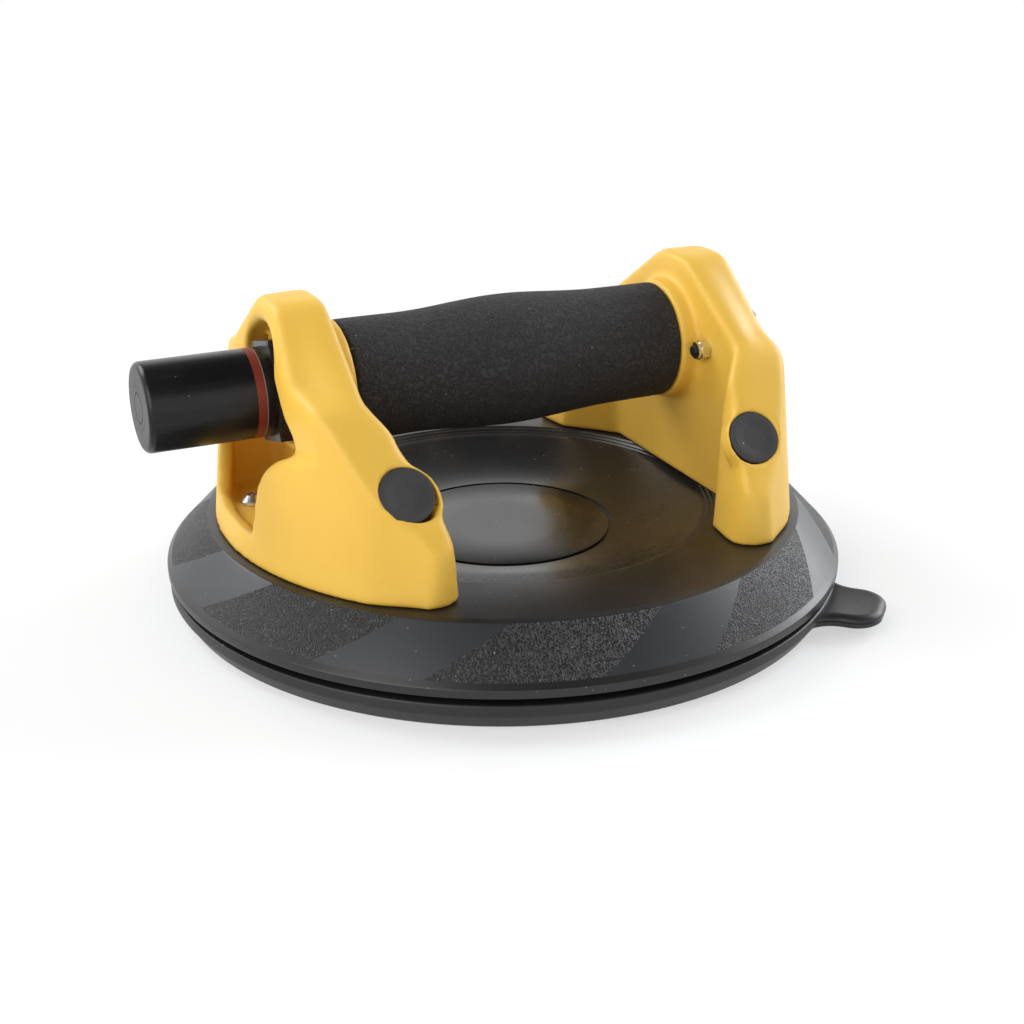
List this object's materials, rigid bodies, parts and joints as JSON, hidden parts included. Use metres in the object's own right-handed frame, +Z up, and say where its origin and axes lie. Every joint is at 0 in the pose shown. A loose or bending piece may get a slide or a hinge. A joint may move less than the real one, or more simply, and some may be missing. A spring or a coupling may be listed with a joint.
{
  "type": "floor tile suction lifter",
  "caption": "Vacuum lifter for raised-floor tiles: round black pad, two yellow brackets, foam grip over a built-in hand pump with plunger and red indicator band.",
  "frame": {"origin": "centre of the pad's sealing face, on the surface that the lifter stands on", "axes": "+Z up, away from the tile; X along the grip, with the pump plunger toward -X; -Y toward the side with the release tab"},
  "size_m": [0.2166, 0.21, 0.0982],
  "materials": {
    "moulded_disc": "satin moulded, wrinkle texture on the cone",
    "pad_rubber": "matte",
    "yellow_plastic": "semi-gloss moulded",
    "cap_plastic": "matte",
    "zinc_screw": "zinc plated",
    "black_screw": "black oxide",
    "nut_steel": "bright zinc",
    "grip_foam": "closed-cell foam, matte",
    "tube_aluminium": "drawn tube",
    "gland_black": "gloss black",
    "head_plastic": "moulded",
    "plunger_plastic": "satin moulded",
    "red_band": "gloss",
    "hose_rubber": "matte",
    "fitting_plastic": "moulded",
    "cup_rubber": "oiled",
    "spring_steel": "bright",
    "guide_white": "natural",
    "felt": "white felt"
  },
  "bodies": {
    "base": {"pad_disc": "moulded_disc", "suction_pad": "pad_rubber", "right_bracket": "yellow_plastic", "left_bracket": "yellow_plastic", "cap_right_front": "cap_plastic", "cap_right_back": "cap_plastic", "cap_left_front": "cap_plastic", "cap_left_back": "cap_plastic", "leg_screws": "black_screw", "floor_screws": "zinc_screw", "pump_tube": "tube_aluminium", "foam_grip": "grip_foam", "gland_nut": "gland_black", "pump_head": "head_plastic", "head_seal": "cup_rubber", "inlet_filter": "felt", "flange_screws": "black_screw", "flange_nuts": "nut_steel", "valve_elbow": "fitting_plastic", "vacuum_hose": "hose_rubber", "port_fitting": "fitting_plastic", "return_spring": "spring_steel", "poppet_spring": "spring_steel"},
    "plunger": {"plunger_sleeve": "plunger_plastic", "plunger_end_disc": "plunger_plastic", "indicator_band": "red_band", "piston": "head_plastic", "guide_ring": "guide_white", "piston_cup": "cup_rubber"},
    "poppet": {"valve_poppet": "guide_white"}
  },
  "joints": [
    {"name": "plunger_push", "type": "slide", "parent": "base", "child": "plunger", "axis": [1, 0, 0], "range_m": [0, 0.03], "stiffness_N_per_m": 1000, "springref_m": -0.015, "deforming": ["return_spring"]},
    {"name": "valve_lift", "type": "slide", "parent": "base", "child": "poppet", "axis": [-1, 0, 0], "range_m": [0, 0.0012], "stiffness_N_per_m": 50, "springref_m": -0.002, "deforming": ["poppet_spring"]}
  ]
}
